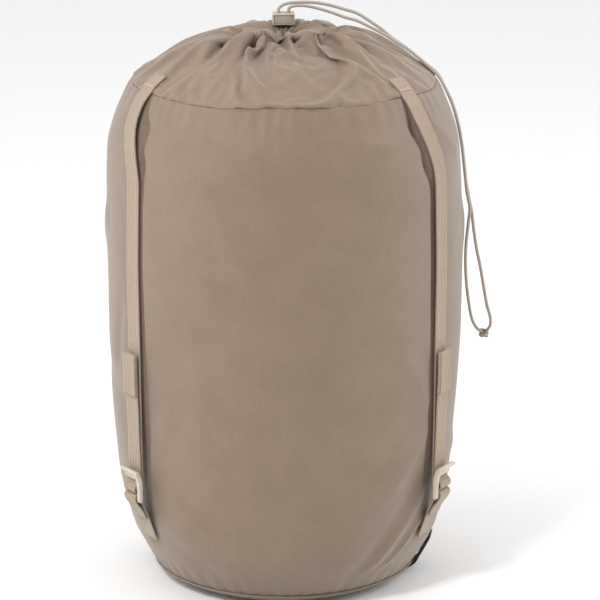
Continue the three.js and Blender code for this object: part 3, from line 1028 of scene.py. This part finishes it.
# ---- Drawcord and cord lock ------------------------------------------
# The two strands' routes, from inside the mouth through the cord lock to the knot.
OUTER_STRAND = [
    (-0.00475, 0.022, 0.5174), (-0.00475, 0.022, 0.528), (-0.00475, 0.022, 0.5364),
    (-0.0046, 0.0222, 0.539), (-0.0028, 0.0225, 0.5412), (0.0008, 0.0229, 0.5432),
    (0.0062, 0.0234, 0.5445), (0.014, 0.024, 0.545), (0.022, 0.0246, 0.5449), (0.03, 0.0248, 0.5444),
    (0.043, 0.0242, 0.5421), (0.056, 0.0226, 0.5386), (0.0686, 0.02, 0.535), (0.0807, 0.0175, 0.5278),
    (0.0917, 0.015, 0.5204), (0.101, 0.0125, 0.5128), (0.1106, 0.01, 0.5066), (0.1213, 0.008, 0.4984),
    (0.1325, 0.006, 0.4894), (0.1432, 0.004, 0.4803), (0.1502, 0.003, 0.4675), (0.1562, 0.001, 0.4555),
    (0.1618, 0, 0.438), (0.1661, -0.001, 0.417), (0.1686, -0.0016, 0.398), (0.1707, -0.002, 0.38),
    (0.1733, -0.002, 0.365), (0.1766, -0.0025, 0.349), (0.1789, -0.003, 0.331), (0.1814, -0.0035, 0.315),
    (0.186, -0.004, 0.293), (0.1892, -0.004, 0.275), (0.1924, -0.004, 0.258), (0.196, -0.0045, 0.244),
    (0.1954, -0.0052, 0.2374), (0.1915, -0.0059, 0.233),
]
INNER_STRAND = [
    (0.00475, 0.022, 0.5174), (0.00475, 0.022, 0.528), (0.00475, 0.022, 0.5369), (0.0049, 0.0219, 0.5392),
    (0.0068, 0.0217, 0.541), (0.0104, 0.0214, 0.542), (0.0154, 0.021, 0.5425), (0.022, 0.0206, 0.542),
    (0.0318, 0.0196, 0.54), (0.0458, 0.018, 0.5359), (0.058, 0.0162, 0.5316), (0.0674, 0.0145, 0.5293),
    (0.0813, 0.012, 0.5229), (0.0943, 0.009, 0.5164), (0.1044, 0.006, 0.5103), (0.115, 0.0035, 0.504),
    (0.1247, 0.0015, 0.4962), (0.1339, 0, 0.4886), (0.1438, -0.0015, 0.479), (0.1508, -0.0025, 0.4665),
    (0.1566, -0.004, 0.4535), (0.1616, -0.005, 0.437), (0.1657, -0.006, 0.4165), (0.1692, -0.007, 0.388),
    (0.1713, -0.0075, 0.3695), (0.1742, -0.008, 0.354), (0.1731, -0.0085, 0.3407),
    (0.1711, -0.0086, 0.3184), (0.1709, -0.0086, 0.3018), (0.1721, -0.0086, 0.2813),
    (0.1743, -0.0082, 0.2644), (0.1786, -0.0076, 0.244), (0.1834, -0.0068, 0.2356),
    (0.1876, -0.0063, 0.2326),
]


def cord_tube(name, points):
    """A round cord along the points, and the smooth path that it takes."""
    path = smooth_path(points, 0.002)
    across = []
    side = Vector((0, 1, 0))
    for along in directions(path):
        side = (side - along * side.dot(along)).normalized()
        across.append(side)
    return sweep(name, path, across, round_section(CORD_RADIUS, 12), CORD_YARN), path


def drawcord():
    """The two strands that hang down the right side, joined in a knot."""
    knot = knot_piece()
    for name, node, points in (
        ("cord_outer", "drawcord_outer_strand", OUTER_STRAND),
        ("cord_inner", "drawcord_inner_strand", INNER_STRAND),
    ):
        strand, path = cord_tube(name, points)
        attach(strand, "sack")
        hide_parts(node)


def knot_piece():
    """The knot: one and a half turns of cord, with two stub ends below."""
    centre = Vector((0.1896, -0.0061, 0.2316))
    points = []
    for i in range(33):
        turn = 2 * math.pi * i / 32 * 1.55
        points.append(centre + Vector((
            0.0034 * math.cos(turn), 0.0028 * math.sin(turn), 0.0024 * math.cos(turn * 0.64 + 0.5),
        )))
    wrap, _ = cord_tube("knot_wrap", points)
    ends = []
    for lean in (-0.0016, 0.0022):
        stub = [(lean * 0.4, 0, 0.001), (lean, -0.0006, -0.002), (lean * 1.4, -0.001, -0.0042)]
        end, _ = cord_tube("knot_end", [centre + Vector(point) for point in stub])
        ends.append(end)
    knot = join("cord_knot", [wrap, *ends])
    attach(knot, "sack")
    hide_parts("drawcord_knot")
    return knot


def hidden_cord():
    """The drawcord's run inside the channel, open where the strands leave it."""
    points = []
    for i in range(65):
        angle = math.radians(115 + i / 64 * 295)
        points.append((0.024 * math.cos(angle), 0.024 * math.sin(angle), CORD_RING_HEIGHT))
    ring, _ = cord_tube("cord_in_channel", points)
    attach(ring, "sack")
    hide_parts("drawcord_ring")


def solid(name, mesh, centre):
    """Makes an object of a bmesh, moved to its centre."""
    data = bpy.data.meshes.new(name)
    mesh.to_mesh(data)
    mesh.free()
    for vertex in data.vertices:
        vertex.co += centre
    obj = bpy.data.objects.new(name, data)
    bpy.context.collection.objects.link(obj)
    return obj


def rounded_box(name, size, centre, bevel, material):
    mesh = bmesh.new()
    bmesh.ops.create_cube(mesh, size=1.0)
    bmesh.ops.scale(mesh, vec=size, verts=mesh.verts)
    obj = solid(name, mesh, centre)
    obj.data.materials.append(material)
    obj.data.polygons.foreach_set("use_smooth", [True] * len(obj.data.polygons))
    if bevel:
        rounding = obj.modifiers.new("bevel", "BEVEL")
        rounding.width = bevel
        rounding.segments = 4
        apply_modifiers(obj)
    return obj


def cylinder(name, radius, height, centre):
    mesh = bmesh.new()
    bmesh.ops.create_cone(mesh, cap_ends=True, segments=24, radius1=radius, radius2=radius, depth=height)
    return solid(name, mesh, centre)


def cut(obj, tools):
    """Takes the tools' shapes out of an object and removes the tools."""
    for tool in tools:
        modifier = obj.modifiers.new("cut", "BOOLEAN")
        modifier.operation = "DIFFERENCE"
        modifier.solver = "EXACT"
        modifier.object = tool
    apply_modifiers(obj)
    for tool in tools:
        bpy.data.objects.remove(tool)


def cord_lock():
    """The case, open at the front, and the button inside it. Both strands run up through both."""
    case = rounded_box("lock_case", LOCK_SIZE, LOCK_CENTRE, 0.0012, LOCK_PLASTIC)
    room_centre = LOCK_CENTRE + Vector((0, -0.0018, 0))
    tools = [rounded_box("room", Vector((0.0178, 0.015, 0.0078)), room_centre, 0, LOCK_PLASTIC)]
    for side in (-1, 1):
        tools.append(cylinder("hole", 0.0021, 0.02, LOCK_CENTRE + Vector((side * CORD_SPACING / 2, 0, 0))))
    cut(case, tools)
    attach(case, "cord_lock")
    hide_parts("cord_lock_body")
    button_size = Vector((0.0172, 0.0104, 0.0072))
    button_centre = LOCK_CENTRE + Vector((0, -0.0022, 0))
    button = rounded_box("lock_button", button_size, button_centre, 0.0006, LOCK_PLASTIC)
    tools = []
    for side in (-1, 1):
        centre = LOCK_CENTRE + Vector((side * CORD_SPACING / 2, -0.0011, 0))
        tools.append(rounded_box("slot", Vector((0.0039, 0.0059, 0.02)), centre, 0, LOCK_PLASTIC))
    cut(button, tools)
    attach(button, "lock_button")
    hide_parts("cord_lock_button")


def lock_spring():
    """The small coil behind the button, which flattens as the button is pressed."""
    points = []
    for i in range(97):
        turn = 2 * math.pi * i / 96 * 3
        points.append(LOCK_CENTRE + Vector((
            0.0019 * math.cos(turn), 0.0036 + 0.0014 * i / 96, 0.0019 * math.sin(turn),
        )))
    across = []
    for point, along in zip(points, directions(points)):
        side = point - LOCK_CENTRE
        side.y = 0
        across.append((side - along * side.dot(along)).normalized())
    coil = sweep("lock_spring", points, across, round_section(0.0002, 8), SPRING_STEEL)
    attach(coil, "cord_lock")
    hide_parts("cord_lock_spring")
    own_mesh(coil)


# ---- Build -----------------------------------------------------------
camera()
studio()
body = body_skin()
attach(body, "sack")
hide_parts("body_panel")
base = base_skin()
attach(base, "sack")
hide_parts("base_panel")
piping = base_piping()
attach(piping, "sack")
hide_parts("base_piping")
collar = gathered_collar()
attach(collar, "sack")
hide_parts("collar", "drawcord_channel")
for side, degrees in STRAP_ANGLES.items():
    compression_strap(side, degrees)
    strap_tail(side, degrees)
    anchor_loop(side, degrees)
    ladder_lock(side, degrees)
grab_handle()
drawcord()
hidden_cord()
cord_lock()
lock_spring()
